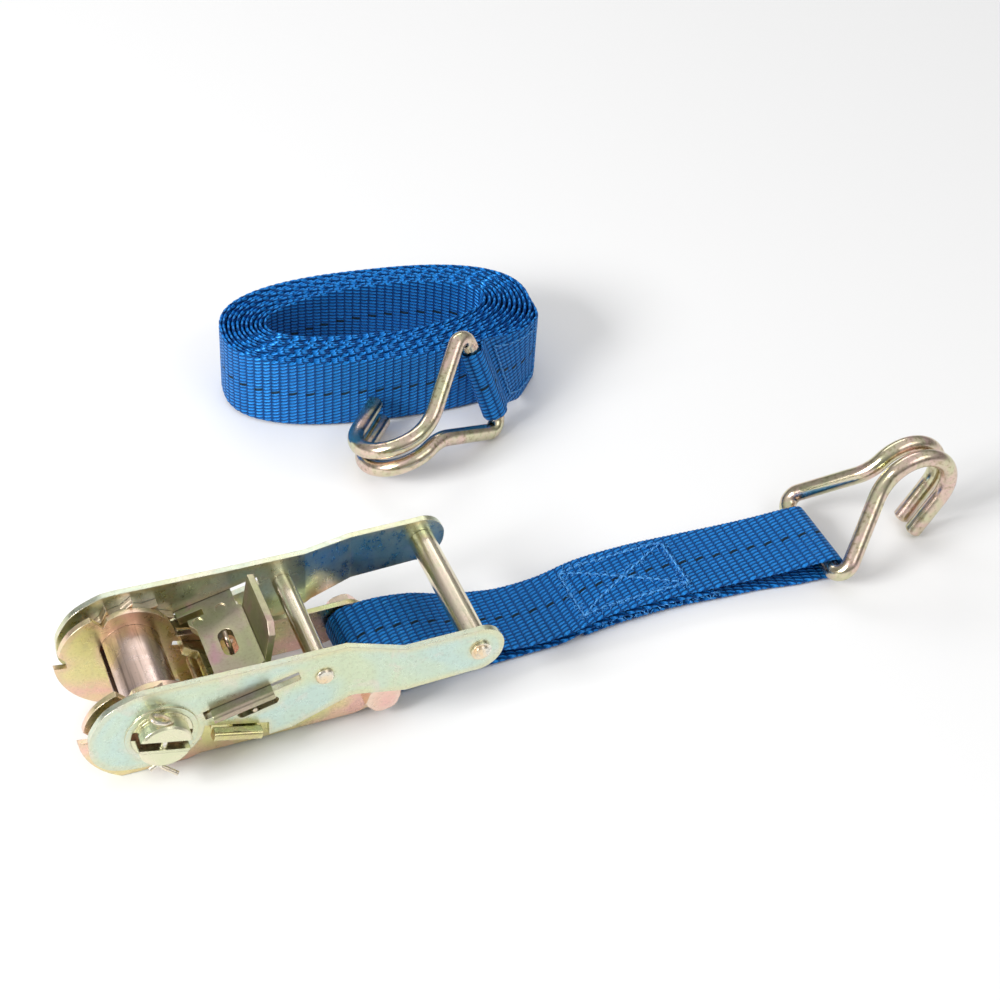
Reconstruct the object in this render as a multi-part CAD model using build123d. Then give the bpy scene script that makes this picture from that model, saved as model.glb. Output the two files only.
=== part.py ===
from build123d import *
import os
from math import acos, cos, degrees, radians, sin, tan

# A 27 mm ratchet tie down: ratchet buckle with a short fixed strap, and a rolled-up long strap.
# Millimetres. +X runs from the spindle along the buckle to the short hook, +Y to the rear, +Z up.
# Every piece is drawn with the spindle axis over X = Y = 0, then moved so that the origin is the
# middle of the whole object's box, on the surface that it lies on.

# Where everything stands
CENTRE_X = 125.91
CENTRE_Y = 68.86
SPINDLE_HEIGHT = 19.7

# Webbing
WEBBING_WIDTH = 27.0
WEBBING_THICKNESS = 1.3
LAYER_PITCH = 1.45

# Stack of the buckle across its width: half distances from the middle plane
FRAME_INNER = 14.25
FRAME_OUTER = 16.25
WHEEL_INNER = 16.4
WHEEL_THICKNESS = 1.5
HANDLE_INNER = 19.5
PLATE = 2.0
HANDLE_OUTER = HANDLE_INNER + PLATE
GRIP_INNER = 24.0
GRIP_OUTER = GRIP_INNER + PLATE
JOGGLE_START_X = 55.7
JOGGLE_END_X = 71.7
PAWL_REACH = 25.0
MANDREL_REACH = 27.2
MANDREL_STEP = 22.2

# Spindle
MANDREL_RADIUS = 8.9
MANDREL_END_RADIUS = 7.8
MANDREL_SLOT_HALF = 1.6
MANDREL_ANGLE = -14.5
RUNNING_FIT = 0.07
SEAT_GAP = 0.05
TEETH = 12
TOOTH_TIP = 15.4
TOOTH_ROOT = 12.6
STEEP_FACE_ANGLE = 20.9
ROOT_SPAN = 16.2
SPLIT_PIN_Y = 24.9
SPLIT_PIN_RADIUS = 1.1
EYE_WIRE_RADIUS = 0.62
LEG_WIRE_RADIUS = 0.7

# Frame
LOBE_RADIUS = 22.8
DRUM_ARC_RADIUS = 13.8
FRAME_FOOT = -SPINDLE_HEIGHT
FRAME_BOTTOM = -18.5
BOLT_X = 67.0
BOLT_Z = -10.5
EAR_RADIUS = 6.7
WEB_START_X = 13.5
WEB_END_X = 36.0

# Anchor bolt, M6
BOLT_RADIUS = 3.0
HEX_ACROSS_FLATS = 10.0
HEX_THICKNESS = 4.2
SLEEVE_RADIUS = 4.6

# Pawls, drawn with their noses just clear of the teeth
PAWL_THICKNESS = 3.0
SLOT_WIDTH = 3.4
NOSE_RADIUS = 15.65
PAWL_TRAVEL_IN = 2.5
BAR_END_ROUNDING = 1.1
HANDLE_PAWL_ANGLE = 13.5
HANDLE_PAWL_OFFSET = -0.5
HANDLE_PAWL_END = 33.4
HANDLE_SLOT_END = 42.0
FRAME_PAWL_ANGLE = -16.0
FRAME_PAWL_END = 29.6
FRAME_SLOT_END = 32.0
NECK_START = 21.0
LOBE_GAP_RADIUS = 23.5
BAR_END_START = 14.9

# Handle
SPACER_X = 48.4
SPACER_Z = 6.8
GRIP_X = 94.8
GRIP_Z = 6.4
GRIP_RADIUS = 4.0

# Hooks, both bent from the same wire
WIRE_RADIUS = 2.85
BASE_HALF = 22.0
BASE_CORNER_RADIUS = 4.2
SHANK_HALF_GAP = 3.7
LEG_END = 29.8
LEG_BEND_RADIUS = 18.0
SHANK_LENGTH = 35.0
BOW_RADIUS = 13.2
BOW_ANGLE = 166.0
HOOK_RETURN = 15.6
LOOP_INNER_RADIUS = 3.25

# Short strap, along +X with a slight swing to the rear
SHORT_STRAP_YAW = 1.25
SHORT_HOOK_X = 224.7
SHORT_HOOK_Z = 5.25
SHORT_HOOK_PITCH = 46.2
UNDER_END_X = 184.0
HOOK_END_X = 135.0
STITCH_START_X = 131.5
STITCH_LENGTH = 43.5
STITCH_WIDTH = 21.0
THREAD_WIDTH = 0.7
THREAD_PROUD = 0.35

# Coil of the long strap, standing on its edge
COIL_X = 120.3
COIL_Y = 137.3
COIL_HALF_LENGTH = 55.9
COIL_HALF_WIDTH = 26.8
COIL_SQUARENESS = 2.5
COIL_YAW = -6.7
EYE_X = 120.0
EYE_Y = 139.6
EYE_HALF_LENGTH = 38.5
EYE_HALF_WIDTH = 12.9
EYE_YAW = -4.0

# Long hook, lying on its side at the end of the long strap
LONG_HOOK_BAR = Vector(145.1, 98.9, 20.65)
LONG_HOOK_SHANK = Vector(-0.794, -0.592, -0.138)
LONG_HOOK_BASE = Vector(0.291, -0.239, -0.927).normalized()
LOOP_SHIFT = 1.4
TAIL_NECK = 6.4


def write(name, shape):
    """Moves a finished piece to the object's origin and writes it."""
    os.makedirs("parts", exist_ok=True)
    export_step(Pos(-CENTRE_X, -CENTRE_Y, 0) * shape, f"parts/{name}.step")


def polar(radius, angle):
    return (radius * cos(radians(angle)), radius * sin(radians(angle)))


def arc_about_spindle(radius, start_angle, end_angle):
    middle = (start_angle + end_angle) / 2
    return ThreePointArc(polar(radius, start_angle), polar(radius, middle), polar(radius, end_angle))


def slab(sketch, y_low, y_high):
    """A side-view sketch about the spindle axis, given depth from y_low to y_high."""
    face = Pos(0, y_low, SPINDLE_HEIGHT) * (Plane.XZ * sketch)
    return extrude(face, amount=y_high - y_low, dir=(0, 1, 0))


def both_sides(sketch, inner, outer):
    return slab(sketch, inner, outer) + slab(sketch, -outer, -inner)


def rod(x, z, radius, y_low, y_high):
    return slab(Pos(x, z) * Circle(radius), y_low, y_high)


def wire(points, bend_radius, radius):
    path = FilletPolyline(*points, radius=bend_radius)
    return sweep(Plane(origin=path @ 0, z_dir=path % 0) * Circle(radius), path=path)


def radial_slot(angle, offset, start, end, width):
    """A slot along a pawl's line, offset below the spindle's radius."""
    bar = Pos((start + end) / 2, offset) * Rectangle(end - start, width)
    return Rot(0, 0, angle) * bar


# Frame ------------------------------------------------------------------------------------------

def frame_outline():
    tip_angle = 185.8
    foot_angle = 270 - degrees(acos(SPINDLE_HEIGHT / LOBE_RADIUS))
    foot = polar(LOBE_RADIUS, foot_angle)
    ear_bottom = Vector(BOLT_X, BOLT_Z) + Vector(*polar(EAR_RADIUS, 255))
    ear_right = Vector(BOLT_X, BOLT_Z) + Vector(*polar(EAR_RADIUS, -5))
    ear_top = Vector(BOLT_X, BOLT_Z) + Vector(*polar(EAR_RADIUS, 96))
    drum_right = polar(DRUM_ARC_RADIUS, -1)
    drum_left = polar(DRUM_ARC_RADIUS, 115)
    tip = polar(LOBE_RADIUS, tip_angle)
    step_foot = (-7.2, 9.8)
    step_top = (-10.6, 13.7)
    lobe_middle = (-17.0, 9.8)
    lobe_end = (-20.9, 2.3)
    lines = [
        arc_about_spindle(LOBE_RADIUS, tip_angle, foot_angle),
        Polyline(foot, (8, FRAME_FOOT), (12, FRAME_BOTTOM), (59, FRAME_BOTTOM), ear_bottom),
        ThreePointArc(ear_bottom, ear_right, ear_top),
        Polyline(ear_top, (55.9, -4.1), (45, -3.6), (16, -0.5), drum_right),
        arc_about_spindle(DRUM_ARC_RADIUS, -1, 115),
        Polyline(drum_left, step_foot, step_top),
        ThreePointArc(step_top, lobe_middle, lobe_end),
        Polyline(lobe_end, (-18.9, -0.2), (-18.8, -2.9), tip),
    ]
    return make_face(lines)


def make_frame():
    """Two side plates and the web that joins them, bent from one sheet."""
    hole = Circle(MANDREL_RADIUS + RUNNING_FIT)
    bolt_hole = Pos(BOLT_X, BOLT_Z) * Circle(BOLT_RADIUS + 0.1)
    slot_start = NOSE_RADIUS - PAWL_TRAVEL_IN - 0.35
    slot = radial_slot(FRAME_PAWL_ANGLE, 0, slot_start, FRAME_SLOT_END, SLOT_WIDTH)
    side = frame_outline() - hole - bolt_hole - slot
    frame = both_sides(side, FRAME_INNER, FRAME_OUTER)
    web_middle = ((WEB_START_X + WEB_END_X) / 2, FRAME_BOTTOM + PLATE / 2)
    web = Pos(*web_middle) * Rectangle(WEB_END_X - WEB_START_X, PLATE)
    return frame + slab(web, -FRAME_INNER - 0.5, FRAME_INNER + 0.5)


def rounded_hex(y_low, y_high, outer_end):
    """A hexagon whose corners are turned down at its outer end."""
    corner_radius = HEX_ACROSS_FLATS / 2 / cos(radians(30))
    hexagon = Pos(BOLT_X, BOLT_Z) * RegularPolygon(corner_radius, 6, rotation=12)
    turned = rod(BOLT_X, BOLT_Z, corner_radius, y_low, y_high)
    end_edges = turned.edges().filter_by(GeomType.CIRCLE).sort_by(Axis.Y)[outer_end]
    return slab(hexagon, y_low, y_high) & chamfer(end_edges, 0.6)


def make_bolt():
    head = rounded_hex(-FRAME_OUTER - HEX_THICKNESS, -FRAME_OUTER, 0)
    shank = rod(BOLT_X, BOLT_Z, BOLT_RADIUS, -FRAME_OUTER, FRAME_OUTER + 3.8)
    return head + shank


def make_nut():
    """A domed nut on the rear plate."""
    hex_part = rounded_hex(FRAME_OUTER, FRAME_OUTER + 4.0, -1)
    dome = Pos(BOLT_X, FRAME_OUTER + 2.2, SPINDLE_HEIGHT + BOLT_Z) * Sphere(4.4)
    dome_limit = rod(BOLT_X, BOLT_Z, HEX_ACROSS_FLATS / 2, FRAME_OUTER + 1.0, FRAME_OUTER + 8)
    bore = rod(BOLT_X, BOLT_Z, BOLT_RADIUS + SEAT_GAP, FRAME_OUTER - 1, FRAME_OUTER + 4.0)
    return hex_part + (dome & dome_limit) - bore


def make_anchor_sleeve():
    ring = Circle(SLEEVE_RADIUS) - Circle(BOLT_RADIUS + 0.15)
    return slab(Pos(BOLT_X, BOLT_Z) * ring, -FRAME_INNER + 0.1, FRAME_INNER - 0.1)


# Spindle ----------------------------------------------------------------------------------------

def half_disc(radius, flat, side):
    """Half of a round bar, on one side of the strap slot."""
    keep = Pos(0, side * (flat + radius)) * Rectangle(4 * radius, 2 * radius)
    return Rot(0, 0, MANDREL_ANGLE) * (Circle(radius) & keep)


def across_slot(distance, y):
    """A point on the line square to the strap slot, at a distance from the axis."""
    x, z = polar(distance, MANDREL_ANGLE + 90)
    return Vector(x, y, SPINDLE_HEIGHT + z)


def pin_bore(y, radius):
    start = across_slot(-MANDREL_RADIUS - 2, y)
    direction = across_slot(1, y) - across_slot(0, y)
    face = Plane(origin=start, z_dir=direction) * Circle(radius)
    return extrude(face, amount=2 * MANDREL_RADIUS + 4, dir=direction)


def make_mandrel_half(side):
    """Half of the slotted spindle, turned down at its ends outside the handle."""
    half = slab(half_disc(MANDREL_RADIUS, MANDREL_SLOT_HALF, side), -MANDREL_STEP, MANDREL_STEP)
    half += slab(half_disc(MANDREL_END_RADIUS, MANDREL_SLOT_HALF, side), -MANDREL_REACH, MANDREL_REACH)
    ends = half.faces().sort_by(Axis.Y)
    half = chamfer(ends[0].edges() + ends[-1].edges(), 0.6)
    for y in (-SPLIT_PIN_Y, SPLIT_PIN_Y):
        half -= pin_bore(y, SPLIT_PIN_RADIUS + SEAT_GAP)
    return half


def wheel_outline():
    """Saw teeth: a steep radial face, then a slope down to the root arc."""
    pitch = 360 / TEETH
    lines = []
    for tooth in range(TEETH):
        steep = STEEP_FACE_ANGLE + tooth * pitch
        slope_end = steep + pitch - ROOT_SPAN
        tip = polar(TOOTH_TIP, steep)
        lines.append(Polyline(polar(TOOTH_ROOT, steep), tip, polar(TOOTH_ROOT, slope_end)))
        lines.append(arc_about_spindle(TOOTH_ROOT, slope_end, steep + pitch))
    return make_face(lines)


def make_wheel(y_low, y_high):
    wheel = wheel_outline()
    for side in (-1, 1):
        wheel -= half_disc(MANDREL_RADIUS + SEAT_GAP, MANDREL_SLOT_HALF - SEAT_GAP, side)
    return slab(wheel, y_low, y_high)


def make_split_pin(side):
    """A split pin: shank across the slot, an eye laid over at one end, and two bent legs."""
    up = across_slot(1, 0) - across_slot(0, 0)
    along = Vector(0, 1, 0).cross(up)

    def spot(along_slot, outward, height):
        return across_slot(height, side * (SPLIT_PIN_Y + outward)) + along * along_slot

    shank_end = MANDREL_END_RADIUS + 0.4
    shank_face = Plane(origin=spot(0, 0, -shank_end), z_dir=up) * Circle(SPLIT_PIN_RADIUS)
    pin = extrude(shank_face, amount=2 * shank_end + 0.3, dir=up)
    start_height = MANDREL_END_RADIUS + 0.55
    end_height = MANDREL_END_RADIUS + 1.9
    eye = [
        spot(-0.2, -0.6, start_height), spot(-1.9, -1.5, start_height + 0.4), spot(-5.6, -1.5, end_height),
        spot(-5.6, 1.5, end_height), spot(-1.9, 1.5, start_height + 0.4), spot(-0.2, 0.6, start_height),
    ]
    pin += wire(eye, 1.2, EYE_WIRE_RADIUS)
    long_leg = [spot(0.3, 0, -7.0), spot(0.3, 0.1, -9.4), spot(5.7, 1.9, -11.4)]
    short_leg = [spot(-0.3, 0, -7.0), spot(-0.4, 0.1, -9.0), spot(-2.4, 0.5, -10.4)]
    return pin + wire(long_leg, 1.2, LEG_WIRE_RADIUS) + wire(short_leg, 1.2, LEG_WIRE_RADIUS)


# Handle -----------------------------------------------------------------------------------------

def handle_outline():
    """Round head about the spindle, a long arm, and a cut-out below that leaves the frame pawl free."""
    notch_slope = tan(radians(FRAME_PAWL_ANGLE))
    notch_rise = PAWL_THICKNESS / 2 / cos(radians(FRAME_PAWL_ANGLE)) + 0.6
    notch_right_x = 31.4
    notch_left = (12.5, notch_slope * 12.5 + notch_rise)
    notch_top = (notch_right_x, notch_slope * notch_right_x + notch_rise)
    head_left = (-20.5, 1.8)
    head_top = (-1.5, 17.0)
    grip_top = (93.5, 14.3)
    grip_low = (92.5, -1.8)
    head_bottom = (1.0, -12.6)
    head_front = [(-9.0, -12.1), (-17.5, -8.5), (-20.1, -4.4)]
    lines = [
        Spline(head_left, (-18.7, 7.6), (-14.5, 12.8), (-8.2, 16.0), head_top, tangents=[(0, 1), (1, 0)]),
        Polyline(head_top, (31.2, 16.2), (55.7, 16.0), (71.7, 14.1), grip_top),
        ThreePointArc(grip_top, (100.4, 11.9), (102.2, 6.0)),
        ThreePointArc((102.2, 6.0), (99.4, 0.2), grip_low),
        Polyline(grip_low, (71.7, -2.7), (57.5, -3.7), (38.0, -11.4), (notch_right_x, -12.0)),
        Polyline((notch_right_x, -12.0), notch_top, notch_left),
        ThreePointArc(notch_left, (8.8, -9.0), head_bottom),
        Spline(head_bottom, *head_front, head_left, tangents=[(-1, 0), (0, 1)]),
    ]
    return make_face(lines)


def spring_window():
    """The sloping window below the pawl slot, where the spring wire's end travels."""
    return Pos(28.4, 0.6) * (Rot(0, 0, HANDLE_PAWL_ANGLE + 1) * SlotOverall(12.6, 3.0))


def joggled_band(side):
    """The plan of a handle plate: flat, then flared outwards before the grip."""
    left = -30.0
    right = 110.0
    inner = [(left, HANDLE_INNER), (JOGGLE_START_X, HANDLE_INNER), (JOGGLE_END_X, GRIP_INNER)]
    inner += [(right, GRIP_INNER)]
    outer = [(x, y + PLATE) for x, y in reversed(inner)]
    points = [(x, side * y) for x, y in inner + outer]
    band = extrude(Polygon(*points, align=None), amount=80, dir=(0, 0, 1))
    return Pos(0, 0, -20) * band


def make_handle_plate(side):
    start = NOSE_RADIUS - PAWL_TRAVEL_IN - 0.35
    slot = radial_slot(HANDLE_PAWL_ANGLE, HANDLE_PAWL_OFFSET, start, HANDLE_SLOT_END, SLOT_WIDTH)
    outline = handle_outline() - slot - spring_window()
    outline -= Circle(MANDREL_RADIUS + RUNNING_FIT)
    outline -= Pos(SPACER_X, SPACER_Z) * Circle(2.1)
    outline -= Pos(GRIP_X, GRIP_Z) * Circle(2.4)
    plate = both_sides(outline, HANDLE_INNER - 1, GRIP_OUTER + 1) & joggled_band(side)
    ring = Circle(MANDREL_RADIUS + 1.7) - Circle(MANDREL_RADIUS + RUNNING_FIT)
    edges = sorted((side * HANDLE_OUTER, side * (HANDLE_OUTER + 0.6)))
    return plate + slab(ring, *edges)


def make_spacer_rod():
    """Rod riveted over outside both plates."""
    rod_body = rod(SPACER_X, SPACER_Z, 2.0, -HANDLE_OUTER - 1, HANDLE_OUTER + 1)
    for side in (-1, 1):
        low, high = sorted((side * (HANDLE_OUTER + 0.02), side * (HANDLE_OUTER + 1.0)))
        head = rod(SPACER_X, SPACER_Z, 2.8, low, high)
        rims = head.edges().filter_by(GeomType.CIRCLE).sort_by(Axis.Y)
        outer_rim = rims[-1] if side > 0 else rims[0]
        rod_body += chamfer(outer_rim, 0.5)
    return rod_body


def make_spacer_sleeve():
    ring = Circle(3.1) - Circle(2.1)
    return slab(Pos(SPACER_X, SPACER_Z) * ring, -HANDLE_INNER + 0.05, HANDLE_INNER - 0.05)


def make_grip_rod():
    """Rod through the grip, with a stepped riveted end at each plate."""
    rod_body = rod(GRIP_X, GRIP_Z, 2.3, -GRIP_OUTER - 1.7, GRIP_OUTER + 1.7)
    rod_body = chamfer(rod_body.edges().filter_by(GeomType.CIRCLE), 0.4)
    for side in (-1, 1):
        low, high = sorted((side * (GRIP_OUTER + 0.02), side * (GRIP_OUTER + 0.9)))
        rod_body += rod(GRIP_X, GRIP_Z, 3.15, low, high)
    return rod_body


def make_grip_sleeve():
    """Roller of rolled sheet: its two long edges nearly meet in a seam."""
    seam = Rot(0, 0, 62) * (Pos(GRIP_RADIUS, 0) * Rectangle(4, 0.35))
    ring = Circle(GRIP_RADIUS) - Circle(GRIP_RADIUS - 1.0) - seam
    return slab(Pos(GRIP_X, GRIP_Z) * ring, -GRIP_INNER + 0.1, GRIP_INNER - 0.1)


# Pawls ------------------------------------------------------------------------------------------

def place_pawl(shape, angle, offset):
    """From a pawl's own frame (X along its travel) to its line through the spindle."""
    return Pos(0, 0, SPINDLE_HEIGHT) * (Rot(0, -angle, 0) * (Pos(0, 0, offset) * shape))


def pawl_plate(half_plan):
    """A flat plate, mirrored about the middle plane, with the outer edges of its bar ends rounded."""
    points = half_plan + [(x, -y) for x, y in reversed(half_plan)]
    face = Polygon(*points, align=None)
    plate = Pos(0, 0, -PAWL_THICKNESS / 2) * extrude(face, amount=PAWL_THICKNESS, dir=(0, 0, 1))
    long_edges = plate.edges().filter_by(Axis.X)
    outermost = [edge for edge in long_edges if abs(edge.center().Y) > PAWL_REACH - 0.01]
    return fillet(outermost, BAR_END_ROUNDING)


def make_handle_pawl():
    """Sliding plate: noses over both wheels, bar ends outside the handle, and a finger tab."""
    plan = [
        (34.6, 0), (34.6, 12.0), (HANDLE_PAWL_END, 12.6), (HANDLE_PAWL_END, PAWL_REACH),
        (BAR_END_START, PAWL_REACH), (BAR_END_START, HANDLE_OUTER + 0.2),
        (NOSE_RADIUS, HANDLE_OUTER + 0.2), (NOSE_RADIUS, FRAME_OUTER + 0.25),
        (LOBE_GAP_RADIUS, FRAME_OUTER + 0.25), (LOBE_GAP_RADIUS, FRAME_INNER - 0.25),
        (18.2, FRAME_INNER - 0.25), (18.2, 12.0), (19.8, 9.0), (19.8, 0),
    ]
    plate = pawl_plate(plan)
    hole = Pos(26.9, 0) * (Rot(0, 0, 90) * SlotOverall(10.6, 4.6))
    plate -= Pos(0, 0, -5) * extrude(hole, amount=10)
    for x, y in ((20.9, 11.9), (28.6, 13.9)):
        plate -= Pos(x, y, PAWL_THICKNESS / 2) * Cylinder(1.75, 1.0)
    plate = place_pawl(plate, HANDLE_PAWL_ANGLE, HANDLE_PAWL_OFFSET)
    tab = slab(Polygon((33.2, 5.9), (35.2, 6.6), (37.4, 20.6), (35.4, 20.9), align=None), -11.6, 11.6)
    front_top = tab.edges().filter_by(Axis.Y, reverse=True).sort_by(Axis.Z)[-2:].sort_by(Axis.Y)[0]
    tab = chamfer(front_top, 3.0)
    return plate + tab


def make_handle_pawl_spring():
    """Wire across the handle whose crest stands up through the pawl's hole."""
    end = HANDLE_OUTER + 0.7
    points = [
        (26.6, -end, -5.4), (26.6, -4.4, -5.4), (27.0, -1.6, 4.6),
        (27.0, 1.6, 4.6), (26.6, 4.4, -5.4), (26.6, end, -5.4),
    ]
    return place_pawl(wire(points, 1.3, 0.7), HANDLE_PAWL_ANGLE, HANDLE_PAWL_OFFSET)


def make_frame_pawl():
    """Sliding plate through the frame's slots, necked where the handle's head swings past."""
    inner_edge = HANDLE_INNER - 0.15
    outer_edge = HANDLE_OUTER + 0.3
    plan = [
        (FRAME_PAWL_END, 0), (FRAME_PAWL_END, inner_edge), (28.6, inner_edge), (28.6, outer_edge),
        (FRAME_PAWL_END, outer_edge), (FRAME_PAWL_END, PAWL_REACH),
        (BAR_END_START, PAWL_REACH), (BAR_END_START, outer_edge), (NECK_START, outer_edge),
        (NECK_START, inner_edge), (NOSE_RADIUS, inner_edge), (NOSE_RADIUS, 11.6), (19.6, 9.6), (19.6, 0),
    ]
    return place_pawl(pawl_plate(plan), FRAME_PAWL_ANGLE, 0)


def make_frame_pawl_spring():
    """Bent wire under the frame pawl, with its bight towards the spindle."""
    level = -PAWL_THICKNESS / 2 - 0.82
    points = [(27.0, -12.6, level), (17.6, -12.6, level), (17.6, 12.6, level), (27.0, 12.6, level)]
    return place_pawl(wire(points, 3.0, 0.8), FRAME_PAWL_ANGLE, 0)


# Hooks ------------------------------------------------------------------------------------------

def make_hook(bar, shank, base):
    """Double-wire hook: base bar for the webbing, two legs that close up, and a bow."""
    along = (shank - base * shank.dot(base)).normalized()
    plane = Plane(origin=bar, x_dir=along, z_dir=along.cross(base))
    half_bow = BOW_ANGLE / 2
    turn = radians(BOW_ANGLE)
    middle_x = SHANK_LENGTH + BOW_RADIUS * sin(radians(half_bow))
    middle_z = -BOW_RADIUS * (1 - cos(radians(half_bow)))
    end_x = SHANK_LENGTH + BOW_RADIUS * sin(turn)
    end_z = -BOW_RADIUS * (1 - cos(turn))
    tip_x = end_x + HOOK_RETURN * cos(turn)
    tip_z = end_z - HOOK_RETURN * sin(turn)
    corners = [
        (SHANK_LENGTH, -SHANK_HALF_GAP, 0), (LEG_END, -SHANK_HALF_GAP, 0), (0, -BASE_HALF, 0),
        (0, BASE_HALF, 0), (LEG_END, SHANK_HALF_GAP, 0), (SHANK_LENGTH, SHANK_HALF_GAP, 0),
    ]
    radii = [LEG_BEND_RADIUS, BASE_CORNER_RADIUS, BASE_CORNER_RADIUS, LEG_BEND_RADIUS]
    lines = FilletPolyline(*corners, radius=radii).edges()
    for y in (-SHANK_HALF_GAP, SHANK_HALF_GAP):
        bow_end = (end_x, y, end_z)
        lines.append(ThreePointArc((SHANK_LENGTH, y, 0), (middle_x, y, middle_z), bow_end).edge())
        lines.append(Line(bow_end, (tip_x, y, tip_z)).edge())
    path = Wire(lines)
    hook = sweep(Plane(origin=path @ 0, z_dir=path % 0) * Circle(WIRE_RADIUS), path=path)
    tips = [face.edges()[0] for face in hook.faces().filter_by(GeomType.PLANE)]
    return plane * chamfer(tips, 0.6)


def short_hook_bar():
    """Middle of the short hook's base bar, on the strap's centre line."""
    reach = SHORT_HOOK_X - BOLT_X
    return Vector(SHORT_HOOK_X, reach * tan(radians(SHORT_STRAP_YAW)), SHORT_HOOK_Z)


def make_short_hook():
    pitch = radians(SHORT_HOOK_PITCH)
    return make_hook(short_hook_bar(), Vector(cos(pitch), 0, sin(pitch)), Vector(0, 1, 0))


# Straps -----------------------------------------------------------------------------------------

def yaw_about_bolt(shape):
    return Pos(BOLT_X, 0, 0) * (Rot(0, 0, SHORT_STRAP_YAW) * (Pos(-BOLT_X, 0, 0) * shape))


def short_strap_route():
    """Side view of the strip's middle line, from the end under the box stitch round to the other end."""
    low = 0.75
    middle = low + LAYER_PITCH
    top = middle + LAYER_PITCH
    loop = LOOP_INNER_RADIUS + WEBBING_THICKNESS / 2
    hook_right = SHORT_HOOK_X + loop
    hook_top = SHORT_HOOK_Z + loop
    hook_low = SHORT_HOOK_Z - loop
    points = [
        (HOOK_END_X, low), (213.5, low), (hook_right, hook_low - 0.05), (hook_right, hook_top + 0.1),
        (217.5, hook_top - 0.6), (205.0, top), (119.0, top), (101.0, 7.6), (87.0, 12.9), (73.5, 15.7),
        (60.7, 15.3), (60.7, 2.9), (75.0, low), (121.5, low), (131.5, middle), (UNDER_END_X, middle),
    ]
    radii = [60, loop, loop, 14, 24, 30, 40, 18, 16, 5.2, 5.2, 30, 30, 30]
    return FilletPolyline(*points, radius=radii)


def make_short_strap():
    """One strip: round the hook's base bar, along, round the anchor sleeve and back."""
    path = Plane.XZ * short_strap_route()
    end = Plane(origin=path @ 0, x_dir=(0, 1, 0), z_dir=path % 0)
    strap = sweep(end * Rectangle(WEBBING_WIDTH, WEBBING_THICKNESS), path=path)
    return yaw_about_bolt(strap)


def make_short_strap_stitching():
    """Box stitch with a cross, standing just proud of the top layer."""
    top = 0.75 + 2 * LAYER_PITCH + WEBBING_THICKNESS / 2
    box = Rectangle(STITCH_LENGTH, STITCH_WIDTH)
    box -= Rectangle(STITCH_LENGTH - 2 * THREAD_WIDTH, STITCH_WIDTH - 2 * THREAD_WIDTH)
    diagonal = (STITCH_LENGTH**2 + STITCH_WIDTH**2) ** 0.5
    lean = degrees(acos(STITCH_LENGTH / diagonal))
    for turn in (-lean, lean):
        box += Rot(0, 0, turn) * Rectangle(diagonal - 2 * THREAD_WIDTH, THREAD_WIDTH)
    stitching = extrude(box, amount=THREAD_PROUD, dir=(0, 0, 1))
    return yaw_about_bolt(Pos(STITCH_START_X + STITCH_LENGTH / 2, 0, top) * stitching)


def squared_oval(half_length, half_width):
    """Closed superellipse."""
    points = []
    for step in range(24):
        angle = radians(step * 15)
        x = half_length * abs(cos(angle)) ** (2 / COIL_SQUARENESS) * (1 if cos(angle) > 0 else -1)
        y = half_width * abs(sin(angle)) ** (2 / COIL_SQUARENESS) * (1 if sin(angle) > 0 else -1)
        points.append((x, y))
    return make_face(Spline(*points, periodic=True))


def make_coil():
    """The rolled strap as one ring with its open eye."""
    outer = Pos(COIL_X, COIL_Y) * (Rot(0, 0, COIL_YAW) * squared_oval(COIL_HALF_LENGTH, COIL_HALF_WIDTH))
    eye = Pos(EYE_X, EYE_Y) * (Rot(0, 0, EYE_YAW) * Ellipse(EYE_HALF_LENGTH, EYE_HALF_WIDTH))
    return extrude(outer - eye, amount=WEBBING_WIDTH)


def tail_stations():
    """Middle points of the doubled tail, its direction and its lean, from the coil to the hook."""
    up = -LONG_HOOK_BASE
    loop_middle = LONG_HOOK_BAR - up * LOOP_SHIFT
    out = Vector(0.848, 0.530, 0)
    out = (out - up * out.dot(up)).normalized()
    neck = loop_middle + out * TAIL_NECK
    middles = [
        Vector(173.4, 115.2, 13.6), Vector(168.2, 112.0, 13.7), Vector(162.4, 108.9, 14.5),
        Vector(156.6, 105.3, 16.6), neck,
    ]
    ups = [Vector(0, 0, 1) * (1 - lean) + up * lean for lean in (0, 0.1, 0.35, 0.7, 1)]
    directions = [middles[1] - middles[0]]
    for before, after in zip(middles, middles[2:]):
        directions.append(after - before)
    directions.append(out * -1)
    return list(zip(middles, directions, ups)), loop_middle, out, up


def strip_section(station, across, offset, width, thickness):
    """A rectangle square to the tail at one station, placed across and off its middle."""
    middle, direction, up = station
    forward = direction.normalized()
    plane = Plane(origin=middle, x_dir=up - forward * up.dot(forward), z_dir=forward)
    return plane * (Pos(across, offset) * Rectangle(width, thickness))


def make_coil_tail():
    """Doubled, stitched end of the long strap with the loop round the long hook's base bar."""
    stations, loop_middle, out, up = tail_stations()
    thickness = 2 * WEBBING_THICKNESS + 0.1
    sections = [strip_section(station, 0, 0, WEBBING_WIDTH, thickness) for station in stations]
    tail = loft(sections, ruled=True)
    outer_radius = LOOP_INNER_RADIUS + WEBBING_THICKNESS
    ring = Circle(outer_radius) + Pos(TAIL_NECK / 2, 0) * Rectangle(TAIL_NECK + 0.4, thickness)
    ring -= Circle(LOOP_INNER_RADIUS)
    plane = Plane(origin=loop_middle - up * (WEBBING_WIDTH / 2), x_dir=out, z_dir=up)
    return tail + extrude(plane * ring, amount=WEBBING_WIDTH, dir=up)


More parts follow.
